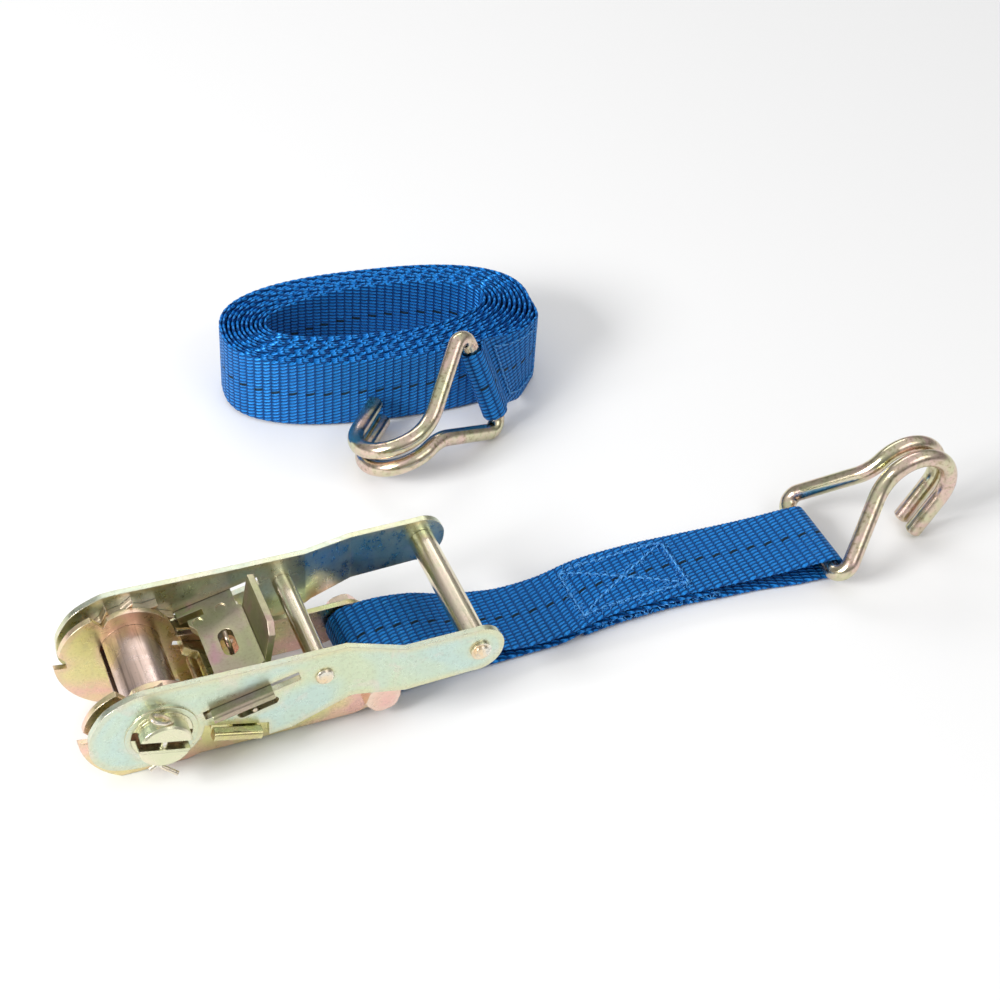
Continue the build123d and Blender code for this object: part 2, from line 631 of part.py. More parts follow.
def make_coil_tail_stitching():
    """Two long rows and two cross rows of thread on the tail's outer face."""
    stations = tail_stations()[0][:4]
    offset = -(WEBBING_THICKNESS + 0.05 + THREAD_PROUD / 2)
    rows = []
    for across in (-STITCH_WIDTH / 2, STITCH_WIDTH / 2):
        sections = [strip_section(s, across, offset, THREAD_WIDTH, THREAD_PROUD) for s in stations]
        rows.append(loft(sections, ruled=True))
    return rows[0] + rows[1]


def main():
    write("frame", make_frame())
    write("anchor_bolt", make_bolt())
    write("anchor_nut", make_nut())
    write("anchor_sleeve", make_anchor_sleeve())
    write("mandrel_half_upper", make_mandrel_half(1))
    write("mandrel_half_lower", make_mandrel_half(-1))
    middle_y = WHEEL_INNER + WHEEL_THICKNESS
    outer_y = middle_y + WHEEL_THICKNESS
    write("ratchet_wheel_rear_inner", make_wheel(WHEEL_INNER, middle_y))
    write("ratchet_wheel_rear_outer", make_wheel(middle_y, outer_y))
    write("ratchet_wheel_front_inner", make_wheel(-middle_y, -WHEEL_INNER))
    write("ratchet_wheel_front_outer", make_wheel(-outer_y, -middle_y))
    write("split_pin_rear", make_split_pin(1))
    write("split_pin_front", make_split_pin(-1))
    write("handle_plate_rear", make_handle_plate(1))
    write("handle_plate_front", make_handle_plate(-1))
    write("spacer_rod", make_spacer_rod())
    write("spacer_sleeve", make_spacer_sleeve())
    write("grip_rod", make_grip_rod())
    write("grip_sleeve", make_grip_sleeve())
    write("handle_pawl", make_handle_pawl())
    write("handle_pawl_spring", make_handle_pawl_spring())
    write("frame_pawl", make_frame_pawl())
    write("frame_pawl_spring", make_frame_pawl_spring())
    write("short_strap", make_short_strap())
    write("short_strap_stitching", make_short_strap_stitching())
    write("short_hook", make_short_hook())
    write("strap_coil", make_coil())
    write("coil_tail", make_coil_tail())
    write("coil_tail_stitching", make_coil_tail_stitching())
    write("long_hook", make_hook(LONG_HOOK_BAR, LONG_HOOK_SHANK, LONG_HOOK_BASE))


main()
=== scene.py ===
from math import ceil, cos, pi, radians, sin
from random import Random

import bpy
from mathutils import Matrix, Vector


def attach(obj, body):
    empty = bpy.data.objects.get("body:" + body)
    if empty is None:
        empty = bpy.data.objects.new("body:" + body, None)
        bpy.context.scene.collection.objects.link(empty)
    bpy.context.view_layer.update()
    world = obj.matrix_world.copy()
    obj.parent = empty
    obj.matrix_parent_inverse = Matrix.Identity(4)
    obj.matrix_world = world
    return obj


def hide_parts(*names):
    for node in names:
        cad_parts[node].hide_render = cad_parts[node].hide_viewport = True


# A 27 mm ratchet tie down. Metres, in the CAD frame: +X along the buckle, +Y to the rear, +Z up.

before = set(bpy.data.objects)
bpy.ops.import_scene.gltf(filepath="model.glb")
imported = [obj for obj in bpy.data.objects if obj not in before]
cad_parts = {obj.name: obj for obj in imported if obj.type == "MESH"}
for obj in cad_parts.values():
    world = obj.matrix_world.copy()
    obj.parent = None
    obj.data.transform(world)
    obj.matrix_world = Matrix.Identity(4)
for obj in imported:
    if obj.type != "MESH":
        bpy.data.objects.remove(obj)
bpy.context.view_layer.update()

MM = 0.001
ORIGIN = Vector((125.91, 68.86, 0.0))    # the CAD origin, measured from under the spindle

# Webbing
WEBBING_WIDTH = 27.0
WEBBING_THICKNESS = 1.3
RIB_PITCH = 3.0                        # ribs lie across the webbing
FLOAT_PITCH = 1.38                     # the yarn floats on a rib, across the width
RIB_HEIGHT = 0.2
SCALLOP = 0.16                         # how far the ribs push the edges in and out

# Short strap
BOLT = Vector((67.0, 0.0, 9.2))
SHORT_YAW = 1.25
SHORT_HOOK = Vector((224.7, 3.41, 5.25))
LOOP_RADIUS = 3.95
STITCH_START_X = 139.0
STITCH_LENGTH = 37.5
STITCH_WIDTH = 20.0

# Rolled long strap
ROLL_TURNS = 10.76
ROLL_INNER = ((120.0, 139.6), (38.5, 12.9), -4.0, 2.0)
ROLL_OUTER = ((120.3, 137.3), (55.9, 26.8), -6.7, 2.5)
ROLL_START_ANGLE = -90.0
ROLL_LIFT = 0.55                       # mean gap under the roll
ROLL_WANDER = 0.3                      # how far single turns stand above or below it
ROLL_WEBBING_THICKNESS = 1.12

# Long hook's base bar
LONG_BAR = Vector((145.1, 98.9, 20.65))
LONG_BAR_UP = Vector((-0.291, 0.239, 0.927)).normalized()
LOOP_SHIFT = 1.4


def place(point):
    """Millimetres from under the spindle to metres in the CAD frame."""
    return (Vector(point) - ORIGIN) * MM


# Camera, floor and light ------------------------------------------------------------------------

def make_camera():
    azimuth = radians(24.79)
    elevation = radians(41.69)
    roll = radians(4.227)
    target = place((130.06, 44.53, 15.0))
    distance = 655.89 * MM
    forward = Vector((sin(azimuth) * cos(elevation), cos(azimuth) * cos(elevation), -sin(elevation)))
    level_right = Vector((cos(azimuth), -sin(azimuth), 0))
    level_up = level_right.cross(forward)
    right = level_right * cos(roll) + level_up * sin(roll)
    up = level_up * cos(roll) - level_right * sin(roll)
    camera = bpy.data.objects.new("camera", bpy.data.cameras.new("camera"))
    camera.data.sensor_width = 36.0
    camera.data.lens = 72.4
    camera.data.clip_start = 0.01
    axes = Matrix((right, up, -forward)).transposed().to_4x4()
    camera.matrix_world = Matrix.Translation(target - forward * distance) @ axes
    bpy.context.scene.collection.objects.link(camera)
    bpy.context.scene.camera = camera


def make_floor():
    mesh = bpy.data.meshes.new("floor")
    half = 25.0
    corners = [(-half, -half, 0), (half, -half, 0), (half, half, 0), (-half, half, 0)]
    mesh.from_pydata(corners, [], [(0, 1, 2, 3)])
    floor_object = bpy.data.objects.new("floor", mesh)
    bpy.context.scene.collection.objects.link(floor_object)
    floor_object.data.materials.append(simple_material("floor_white", (0.9, 0.9, 0.9), 0.9))
    floor_object.location.z = -0.0002


def add_area_light(name, location, size, power, aim=(0, 0, 0)):
    light = bpy.data.lights.new(name, "AREA")
    light.shape = "RECTANGLE"
    light.size, light.size_y = size
    light.energy = power
    lamp = bpy.data.objects.new(name, light)
    lamp.location = location
    lamp.rotation_euler = (Vector(aim) - Vector(location)).to_track_quat("-Z", "Y").to_euler()
    bpy.context.scene.collection.objects.link(lamp)


def make_lights():
    """A bright upper half and a darker horizon, so that metal has something to reflect."""
    world = bpy.data.worlds.new("studio")
    bpy.context.scene.world = world
    world.use_nodes = True
    tree = world.node_tree
    tree.nodes.clear()
    coordinates = tree.nodes.new("ShaderNodeTexCoord")
    split = tree.nodes.new("ShaderNodeSeparateXYZ")
    ramp = tree.nodes.new("ShaderNodeValToRGB")
    stops = ((0.48, 1.05), (0.53, 0.80), (0.60, 0.28), (0.70, 0.50), (0.86, 1.0), (0.99, 1.2))
    for position, level in stops:
        stop = ramp.color_ramp.elements.new(position)
        stop.color = (level, level, level, 1)
    background = tree.nodes.new("ShaderNodeBackground")
    background.inputs["Strength"].default_value = 0.62
    output = tree.nodes.new("ShaderNodeOutputWorld")
    half = tree.nodes.new("ShaderNodeMapRange")
    half.inputs["From Min"].default_value = -1.0
    tree.links.new(coordinates.outputs["Generated"], split.inputs[0])
    tree.links.new(split.outputs["Z"], half.inputs["Value"])
    tree.links.new(half.outputs[0], ramp.inputs[0])
    tree.links.new(ramp.outputs[0], background.inputs["Color"])
    tree.links.new(background.outputs[0], output.inputs[0])
    bpy.context.scene.view_settings.view_transform = "Standard"
    add_area_light("key", (-1.0, -0.25, 0.62), (0.5, 0.4), 13.0)
    add_area_light("fill", (0.5, -0.7, 0.9), (0.8, 0.5), 2.0)
    add_area_light("back", (0.1, 1.0, 0.8), (1.0, 0.3), 2.6)


# Materials --------------------------------------------------------------------------------------

class Nodes:
    """Short calls that build a material's node tree."""

    def __init__(self, name):
        self.material = bpy.data.materials.new(name)
        self.material.use_nodes = True
        self.tree = self.material.node_tree
        self.tree.nodes.clear()
        self.shader = self.new("ShaderNodeBsdfPrincipled")
        output = self.new("ShaderNodeOutputMaterial")
        self.link(self.shader.outputs[0], output.inputs[0])

    def new(self, kind, **settings):
        node = self.tree.nodes.new(kind)
        for key, value in settings.items():
            setattr(node, key, value)
        return node

    def link(self, source, target):
        self.tree.links.new(source, target)

    def feed(self, target, value):
        if isinstance(value, bpy.types.NodeSocket):
            self.link(value, target)
        else:
            target.default_value = value

    def math(self, operation, *values):
        node = self.new("ShaderNodeMath", operation=operation)
        for socket, value in zip(node.inputs, values):
            self.feed(socket, value)
        return node.outputs[0]

    def mix(self, share, first, second):
        node = self.new("ShaderNodeMix", data_type="RGBA")
        self.feed(node.inputs["Factor"], share)
        for socket, value in ((node.inputs["A"], first), (node.inputs["B"], second)):
            if not isinstance(value, bpy.types.NodeSocket):
                value = (*value, 1.0)
            self.feed(socket, value)
        return node.outputs["Result"]

    def noise(self, scale, detail=3.0, roughness=0.5, distortion=0.0, vector=None):
        node = self.new("ShaderNodeTexNoise")
        node.inputs["Scale"].default_value = scale
        node.inputs["Detail"].default_value = detail
        node.inputs["Roughness"].default_value = roughness
        node.inputs["Distortion"].default_value = distortion
        if vector is None:
            vector = self.object_point()
        self.link(vector, node.inputs["Vector"])
        return node.outputs["Fac"]

    def object_point(self):
        return self.new("ShaderNodeTexCoord").outputs["Object"]

    def range(self, value, low, high, out_low=0.0, out_high=1.0):
        node = self.new("ShaderNodeMapRange", clamp=True)
        self.feed(node.inputs["Value"], value)
        for key, number in (("From Min", low), ("From Max", high), ("To Min", out_low), ("To Max", out_high)):
            node.inputs[key].default_value = number
        return node.outputs[0]

    def spindle_y(self):
        """Distance along the spindle from the middle of the buckle."""
        split = self.new("ShaderNodeSeparateXYZ")
        self.link(self.object_point(), split.inputs[0])
        return self.math("ADD", split.outputs["Y"], ORIGIN.y * MM)

    def bump(self, height, distance, strength=1.0, normal=None):
        node = self.new("ShaderNodeBump")
        node.inputs["Distance"].default_value = distance
        node.inputs["Strength"].default_value = strength
        self.feed(node.inputs["Height"], height)
        if normal is not None:
            self.link(normal, node.inputs["Normal"])
        return node.outputs[0]

    def soft_edges(self, radius):
        """The normal with its edges rounded, and how far it turns there."""
        bevel = self.new("ShaderNodeBevel", samples=4)
        bevel.inputs["Radius"].default_value = radius
        flat = self.new("ShaderNodeNewGeometry").outputs["Normal"]
        dot = self.new("ShaderNodeVectorMath", operation="DOT_PRODUCT")
        self.link(bevel.outputs[0], dot.inputs[0])
        self.link(flat, dot.inputs[1])
        return bevel.outputs[0], self.range(dot.outputs["Value"], 0.98, 0.78)

    def set(self, **values):
        for key, value in values.items():
            self.feed(self.shader.inputs[key.replace("_", " ")], value)


def simple_material(name, color, roughness):
    nodes = Nodes(name)
    grain = nodes.noise(900.0)
    nodes.set(Base_Color=(*color, 1.0), Roughness=nodes.range(grain, 0.3, 0.7, roughness - 0.04, roughness))
    return nodes.material


def zinc_material(name, hues, roughness=0.3, mottle=1.0):
    """Yellow-passivated zinc: colours that run into each other, a warm rim near edges, fine mottling."""
    nodes = Nodes(name)
    main, second, rim, stain = hues
    broad = nodes.noise(42.0, 2.0, 0.5, 0.6)
    patches = nodes.noise(110.0, 3.0, 0.6, 1.0)
    color = nodes.mix(nodes.range(broad, 0.40, 0.60), main, second)
    wide_rim = nodes.soft_edges(0.0045)[1]
    color = nodes.mix(nodes.math("MULTIPLY", wide_rim, 0.75), color, rim)
    color = nodes.mix(nodes.range(patches, 0.54, 0.74, 0.0, 0.6), color, stain)
    speckle = nodes.noise(1100.0, 3.0, 0.65)
    color = nodes.mix(nodes.range(speckle, 0.50, 0.72, 0.0, 0.18 * mottle), color, (0.16, 0.13, 0.07))
    normal, edge = nodes.soft_edges(0.0003)
    color = nodes.mix(nodes.math("MULTIPLY", edge, 0.7), color, (0.92, 0.80, 0.66))
    scratches = nodes.noise(300.0, 4.0, 0.7, 0.3)
    nodes.set(
        Base_Color=color,
        Metallic=1.0,
        Roughness=nodes.range(scratches, 0.35, 0.65, roughness - 0.06, roughness + 0.08),
        Normal=nodes.bump(nodes.noise(500.0, 3.0, 0.6), 0.00002, 0.5 * mottle, normal),
    )
    return nodes.material


def rod_material(name, color, second, painted_reflection_color, roughness=0.2, streaks=True, end_color=None):
    """Round steel parts: bright, with stains, specks and painted reflections that, where drawn, streak along
    their length.
    """
    nodes = Nodes(name)
    point = nodes.object_point()
    if streaks:
        stretch = nodes.new("ShaderNodeMapping")
        stretch.inputs["Scale"].default_value = (1.0, 0.035, 1.0)
        nodes.link(point, stretch.inputs["Vector"])
        point = stretch.outputs[0]
    relief_and_painted_reflection = nodes.noise(700.0, 3.0, 0.6, vector=point)
    clouds = nodes.noise(120.0, 3.0, 0.6, 0.6)
    specks = nodes.range(nodes.noise(1300.0, 3.0, 0.7), 0.62, 0.72)
    mixed = nodes.mix(nodes.range(clouds, 0.38, 0.62), color, second)
    # Painted reflection: deep-toned patches mixed into the colour, streaked where stretched; the same noise
    # also bumps the surface.
    mixed = nodes.mix(nodes.range(relief_and_painted_reflection, 0.52, 0.70, 0.0, 0.75), mixed, painted_reflection_color)
    mixed = nodes.mix(nodes.math("MULTIPLY", specks, 0.5), mixed, (0.12, 0.08, 0.05))
    normal, edge = nodes.soft_edges(0.0003)
    mixed = nodes.mix(nodes.math("MULTIPLY", edge, 0.5), mixed, (0.92, 0.86, 0.72))
    if end_color:
        beyond = nodes.math("GREATER_THAN", nodes.math("ABSOLUTE", nodes.spindle_y()), 0.022)
        mixed = nodes.mix(beyond, mixed, nodes.mix(nodes.range(clouds, 0.4, 0.6), *end_color))
    nodes.set(
        Base_Color=mixed,
        Metallic=1.0,
        Roughness=nodes.range(clouds, 0.3, 0.7, roughness - 0.05, roughness + 0.08),
        Normal=nodes.bump(relief_and_painted_reflection, 0.00003, 0.5, normal),
    )
    return nodes.material


def webbing_material():
    """Ribs across the width, each a row of glossy slanted yarn floats, and a black tracer dash; shade in the
    gaps and highlights on the floats are painted.
    """
    nodes = Nodes("webbing_blue")
    uv = nodes.new("ShaderNodeSeparateXYZ")
    nodes.link(nodes.new("ShaderNodeUVMap", uv_map="weave").outputs[0], uv.inputs[0])
    along = uv.outputs["X"]
    across = uv.outputs["Y"]
    rib = nodes.math("FLOOR", along)
    odd = nodes.math("MODULO", nodes.math("ABSOLUTE", rib), 2.0)
    along_rib = nodes.math("SUBTRACT", nodes.math("FRACT", along), 0.5)
    slanted = nodes.math("ADD", across, nodes.math("MULTIPLY", along_rib, 0.6))
    shifted = nodes.math("ADD", slanted, nodes.math("MULTIPLY", odd, 0.5))
    across_float = nodes.math("SUBTRACT", nodes.math("FRACT", shifted), 0.5)
    long_part = nodes.math("POWER", nodes.math("ABSOLUTE", nodes.math("MULTIPLY", along_rib, 1.96)), 3.0)
    wide_part = nodes.math("POWER", nodes.math("MULTIPLY", across_float, 2.15), 2.0)
    dome = nodes.math("SUBTRACT", 1.0, nodes.math("ADD", long_part, wide_part))
    height = nodes.math("SQRT", nodes.math("MAXIMUM", dome, 0.0))
    fibre_point = nodes.new("ShaderNodeCombineXYZ")
    nodes.link(nodes.math("MULTIPLY", along, 2.0), fibre_point.inputs[0])
    nodes.link(nodes.math("MULTIPLY", slanted, 9.0), fibre_point.inputs[1])
    fibre = nodes.noise(1.0, 2.0, 0.5, vector=fibre_point.outputs[0])
    yarn = nodes.new("ShaderNodeTexWhiteNoise", noise_dimensions="2D")
    cell = nodes.new("ShaderNodeCombineXYZ")
    nodes.link(rib, cell.inputs[0])
    nodes.link(nodes.math("FLOOR", shifted), cell.inputs[1])
    nodes.link(cell.outputs[0], yarn.inputs["Vector"])
    cloud = nodes.noise(60.0, 2.0)
    # Painted shade and light: darker low in the gaps between the floats, lighter towards their crowns.
    blue = nodes.mix(nodes.range(height, 0.20, 0.80), (0.002, 0.030, 0.150), (0.008, 0.215, 0.68))
    blue = nodes.mix(nodes.range(cloud, 0.3, 0.7, 0.0, 0.3), blue, (0.005, 0.130, 0.52))
    # Painted highlight: pale fibre streaks on the crowns of the floats.
    lit = nodes.math("MULTIPLY", nodes.range(fibre, 0.45, 0.75), nodes.range(height, 0.55, 0.95))
    blue = nodes.mix(nodes.math("MULTIPLY", lit, 0.55), blue, (0.05, 0.42, 0.95))
    blue = nodes.mix(nodes.math("MULTIPLY", yarn.outputs["Value"], 0.22), blue, (0.003, 0.08, 0.34))
    dash_row = nodes.math("LESS_THAN", nodes.math("ABSOLUTE", slanted), 0.42)
    dash_rib = nodes.math("LESS_THAN", odd, 0.5)
    dash = nodes.math("MULTIPLY", dash_row, dash_rib)
    color = nodes.mix(nodes.math("MULTIPLY", dash, 0.95), blue, (0.004, 0.004, 0.006))
    nodes.set(
        Base_Color=color,
        Metallic=0.3,
        Roughness=nodes.range(height, 0.0, 1.0, 0.7, 0.33),
        Normal=nodes.bump(height, 0.00075, 1.0),
        Specular_IOR_Level=0.85,
        Specular_Tint=(0.30, 0.68, 1.0, 1.0),
    )
    return nodes.material


def thread_material():
    nodes = Nodes("sewing_thread")
    twist = nodes.noise(2200.0, 2.0)
    color = nodes.mix(nodes.range(twist, 0.35, 0.65), (0.006, 0.12, 0.42), (0.09, 0.42, 0.86))
    nodes.set(Base_Color=color, Roughness=0.42, Normal=nodes.bump(twist, 0.0001, 0.5))
    return nodes.material


PALE = ((0.57, 0.71, 0.64), (0.64, 0.72, 0.52), (0.78, 0.66, 0.38), (0.76, 0.68, 0.60))
TAN = ((0.80, 0.76, 0.36), (0.90, 0.58, 0.50), (0.88, 0.60, 0.50), (0.70, 0.68, 0.38))
PINK = ((0.88, 0.56, 0.50), (0.84, 0.66, 0.50), (0.90, 0.74, 0.62), (0.76, 0.60, 0.42))
YELLOW = ((0.60, 0.56, 0.22), (0.52, 0.46, 0.20), (0.76, 0.72, 0.44), (0.50, 0.34, 0.28))
OLIVE = ((0.44, 0.33, 0.30), (0.36, 0.36, 0.22), (0.52, 0.52, 0.28), (0.50, 0.24, 0.32))
BROWN = ((0.66, 0.46, 0.38), (0.66, 0.60, 0.34), (0.78, 0.58, 0.44), (0.46, 0.28, 0.24))


def dress_cad_nodes():
    plate = zinc_material("zinc_plate", PALE)
    frame_zinc = zinc_material("zinc_frame", TAN)
    pawl = zinc_material("zinc_pawl", OLIVE, 0.34, 1.6)
    bolt = zinc_material("zinc_bolt", PINK)
    yellow = zinc_material("zinc_yellow", YELLOW, 0.26)
    wheel = zinc_material("zinc_wheel", BROWN, 0.34, 1.3)
    drum = rod_material("zinc_drum", (0.76, 0.60, 0.54), (0.66, 0.50, 0.42), (0.26, 0.18, 0.14), 0.26,
                        end_color=((0.72, 0.73, 0.50), (0.80, 0.75, 0.56)))
    bright = rod_material("bright_rod", (0.90, 0.84, 0.62), (0.86, 0.72, 0.58), (0.42, 0.36, 0.16))
    rivet = rod_material("rivet_steel", (0.80, 0.78, 0.70), (0.84, 0.66, 0.44), (0.45, 0.42, 0.38), 0.26,
                         streaks=False)
    wire = rod_material("spring_wire", (0.70, 0.60, 0.46), (0.52, 0.42, 0.32), (0.22, 0.16, 0.10), 0.26,
                        streaks=False)
    hook = rod_material("hook_steel", (0.66, 0.64, 0.42), (0.78, 0.58, 0.50), (0.34, 0.28, 0.14),
                        streaks=False)
    looks = {
        plate: ["handle_plate_front", "handle_plate_rear"],
        frame_zinc: ["frame"],
        bolt: ["anchor_bolt", "anchor_nut"],
        yellow: ["frame_pawl"],
        pawl: ["handle_pawl"],
        drum: ["mandrel_half_upper", "mandrel_half_lower"],
        wheel: [f"ratchet_wheel_{side}_{ring}" for side in ("front", "rear") for ring in ("inner", "outer")],
        bright: ["anchor_sleeve", "spacer_sleeve", "grip_sleeve"],
        rivet: ["spacer_rod", "grip_rod", "split_pin_front", "split_pin_rear"],
        wire: ["handle_pawl_spring", "frame_pawl_spring"],
        hook: ["short_hook", "long_hook"],
    }
    for material, names in looks.items():
        for name in names:
            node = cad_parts[name]
            node.data.materials.clear()
            node.data.materials.append(material)


# Webbing as a mesh ------------------------------------------------------------------------------

def link_mesh(name, vertices, faces, material, body):
    mesh = bpy.data.meshes.new(name)
    mesh.from_pydata(vertices, [], faces)
    mesh.materials.append(material)
    piece = bpy.data.objects.new(name, mesh)
    bpy.context.scene.collection.objects.link(piece)
    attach(piece, body)
    for polygon in mesh.polygons:
        polygon.use_smooth = True
    return piece


def smooth_path(points, step):
    """Even samples of a Catmull-Rom curve: (position, across) pairs at about the given step."""
    dense = []
    count = len(points)
    for index in range(count - 1):
        before = points[max(index - 1, 0)]
        start, end = points[index], points[index + 1]
        after = points[min(index + 2, count - 1)]
        for part in range(24):
            t = part / 24
            dense.append(tuple(catmull(before[k], start[k], end[k], after[k], t) for k in (0, 1)))
    dense.append(points[-1])
    return even_steps(dense, step)


def catmull(a, b, c, d, t):
    return 0.5 * (2 * b + (c - a) * t + (2 * a - 5 * b + 4 * c - d) * t**2 + (3 * b - a - 3 * c + d) * t**3)


def even_steps(path, step):
    lengths = [0.0]
    for (first, _), (second, _) in zip(path, path[1:]):
        lengths.append(lengths[-1] + (second - first).length)
    count = max(2, round(lengths[-1] / step))
    result = []
    index = 0
    for number in range(count + 1):
        wanted = lengths[-1] * number / count
        while index < len(path) - 2 and lengths[index + 1] < wanted:
            index += 1
        span = max(lengths[index + 1] - lengths[index], 1e-9)
        share = min(max((wanted - lengths[index]) / span, 0.0), 1.0)
        position = path[index][0].lerp(path[index + 1][0], share)
        across = path[index][1].lerp(path[index + 1][1], share).normalized()
        result.append((position, across))
    return result, lengths[-1]


def webbing_profile(columns):
    """(across, side) pairs once round the section: side is +1 or -1 on a face and between on an edge."""
    half = WEBBING_WIDTH / 2
    flat = half - WEBBING_THICKNESS * 0.45
    profile = [(-flat + 2 * flat * i / columns, 1.0) for i in range(columns + 1)]
    profile += [(half - 0.12, 0.55), (half, 0.0), (half - 0.12, -0.55)]
    profile += [(flat - 2 * flat * i / columns, -1.0) for i in range(columns + 1)]
    profile += [(-half + 0.12, -0.55), (-half, 0.0), (-half + 0.12, 0.55)]
    return profile


def make_webbing(name, path, step, columns, body, thickness=WEBBING_THICKNESS):
    """A closed strip of webbing along (position, across) samples, ribbed, with scalloped edges."""
    samples, length = even_steps(path, step)
    profile = webbing_profile(columns)
    count = len(samples)
    ring = len(profile)
    vertices = []
    weave = []
    for number, (position, across) in enumerate(samples):
        before = samples[max(number - 1, 0)][0]
        after = samples[min(number + 1, count - 1)][0]
        normal = (after - before).cross(across).normalized()
        distance = length * number / (count - 1)
        wave = cos(2 * pi * distance / RIB_PITCH)
        rib = RIB_HEIGHT * (0.5 - 0.5 * wave)
        scallop = SCALLOP * cos(4 * pi * distance / RIB_PITCH)
        for place_across, side in profile:
            lift = side * (thickness / 2 - RIB_HEIGHT + rib)
            edge = scallop if abs(side) < 0.9 else 0.0
            point = position + across * (place_across + (edge if place_across > 0 else -edge))
            vertices.append(place(point + normal * lift))
            weave.append((distance / RIB_PITCH, place_across / FLOAT_PITCH))
    faces = []
    for row in range(count - 1):
        for column in range(ring):
            next_column = (column + 1) % ring
            base = row * ring
            above = base + ring
            faces.append((base + column, base + next_column, above + next_column, above + column))
    faces.append(tuple(range(ring - 1, -1, -1)))
    faces.append(tuple((count - 1) * ring + k for k in range(ring)))
    piece = link_mesh(name, vertices, faces, webbing_blue, body)
    layer = piece.data.uv_layers.new(name="weave")
    for loop in piece.data.loops:
        layer.data[loop.index].uv = weave[loop.vertex_index]
    return piece, length


def yawed(x, y, z):
    """A point of the short strap: x along it, y across it."""
    turn = Matrix.Rotation(radians(SHORT_YAW), 4, "Z")
    return Vector((BOLT.x, 0, 0)) + turn @ Vector((x - BOLT.x, y, z))


def interpolate(table, x):
    """A value from a table of (x, value) rows, smoothed between rows."""
    if x <= table[0][0]:
        return table[0][1]
    for (start, low), (end, high) in zip(table, table[1:]):
        if x <= end:
            share = (x - start) / (end - start)
            return low + (high - low) * share * share * (3 - 2 * share)
    return table[-1][1]


# How far the strap wanders to the rear, and the middle of its top layer
SWAY = [(60, 0.0), (90, 1.8), (128, 2.2), (150, 4.2), (172, 4.6), (200, 2.4), (216, 0.2), (226, -0.8)]
TOP_LAYER = [(119, 4.1), (132, 4.5), (147, 5.9), (165, 6.1), (182, 5.8), (198, 6.4), (210, 7.6)]


def strap_point(x, across, z):
    return yawed(x, across + interpolate(SWAY, x), z)


def short_strap_path():
    """From the end under the box stitch, round the hook's bar, back over the top and round the bolt."""
    route = [(138.0, 1.1), (150.0, 1.3), (170.0, 1.3), (188.0, 1.1)]
    route += [(200.0, 1.0), (213.0, 1.0), (219.0, 1.15)]
    for angle in range(-80, 110, 20):
        route.append((SHORT_HOOK.x + LOOP_RADIUS * cos(radians(angle)),
                      SHORT_HOOK.z + LOOP_RADIUS * sin(radians(angle))))
    route += [(219.0, 8.6)]
    route += [(x, z) for x, z in reversed(TOP_LAYER)]
    route += [(109.0, 5.9), (99.0, 8.6), (89.0, 12.3), (80.0, 14.5), (72.0, 15.6)]
    for angle in range(100, 262, 20):
        route.append((66.2 + 5.5 * cos(radians(angle)), BOLT.z + 6.2 * sin(radians(angle))))
    route += [(68.5, 2.0), (75.0, 1.2), (85.0, 1.0), (100.0, 1.0), (118.0, 1.0), (130.0, 1.3)]
    route += [(138.0, 2.8), (150.0, 3.5), (168.0, 3.6), (184.0, 3.4)]
    across = yawed(BOLT.x, 1.0, 0.0) - yawed(BOLT.x, 0.0, 0.0)
    return [(strap_point(x, 0.0, z), across.normalized()) for x, z in route]


def make_short_strap():
    path, _ = smooth_path(short_strap_path(), 0.5)
    strap, length = make_webbing("short_webbing", path, RIB_PITCH / 4, 26, "short_strap")
    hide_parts("short_strap")
    return strap


def oval_point(centre, halves, yaw, power, angle, height):
    x = halves[0] * abs(cos(angle)) ** (2 / power) * (1 if cos(angle) > 0 else -1)
    y = halves[1] * abs(sin(angle)) ** (2 / power) * (1 if sin(angle) > 0 else -1)
    turn = radians(yaw)
    turned_x = centre[0] + x * cos(turn) - y * sin(turn)
    turned_y = centre[1] + x * sin(turn) + y * cos(turn)
    return Vector((turned_x, turned_y, height))


def roll_path():
    """The rolled turns from the inner cut end outwards, clockwise from above."""
    steps = ceil(ROLL_TURNS * 72)
    path = []
    for number in range(steps + 1):
        part = number / steps
        angle = radians(ROLL_START_ANGLE - 360 * ROLL_TURNS * part)
        share = min(1.0, part * ROLL_TURNS / (ROLL_TURNS - 0.75))
        inset = WEBBING_THICKNESS / 2
        values = []
        for inner, outer in zip(ROLL_INNER[:2], ROLL_OUTER[:2]):
            values.append([a + (b - a) * share for a, b in zip(inner, outer)])
        centre, halves = values
        halves = [half + inset * (1 - 2 * share) for half in halves]
        yaw = ROLL_INNER[2] + (ROLL_OUTER[2] - ROLL_INNER[2]) * share
        power = ROLL_INNER[3] + (ROLL_OUTER[3] - ROLL_INNER[3]) * share
        turn_number = ROLL_TURNS * part
        wander = ROLL_WANDER * sin(turn_number * 2.1) * min(1, turn_number)
        height = WEBBING_WIDTH / 2 + ROLL_LIFT + wander
        path.append((oval_point(centre, halves, yaw, power, angle, height), Vector((0, 0, 1))))
    return path


def tail_frame():
    """The tail's direction away from the bar, and the loop's middle on the bar."""
    out = Vector((0.848, 0.530, 0.0))
    out = (out - LONG_BAR_UP * out.dot(LONG_BAR_UP)).normalized()
    return out, LONG_BAR - LONG_BAR_UP * LOOP_SHIFT


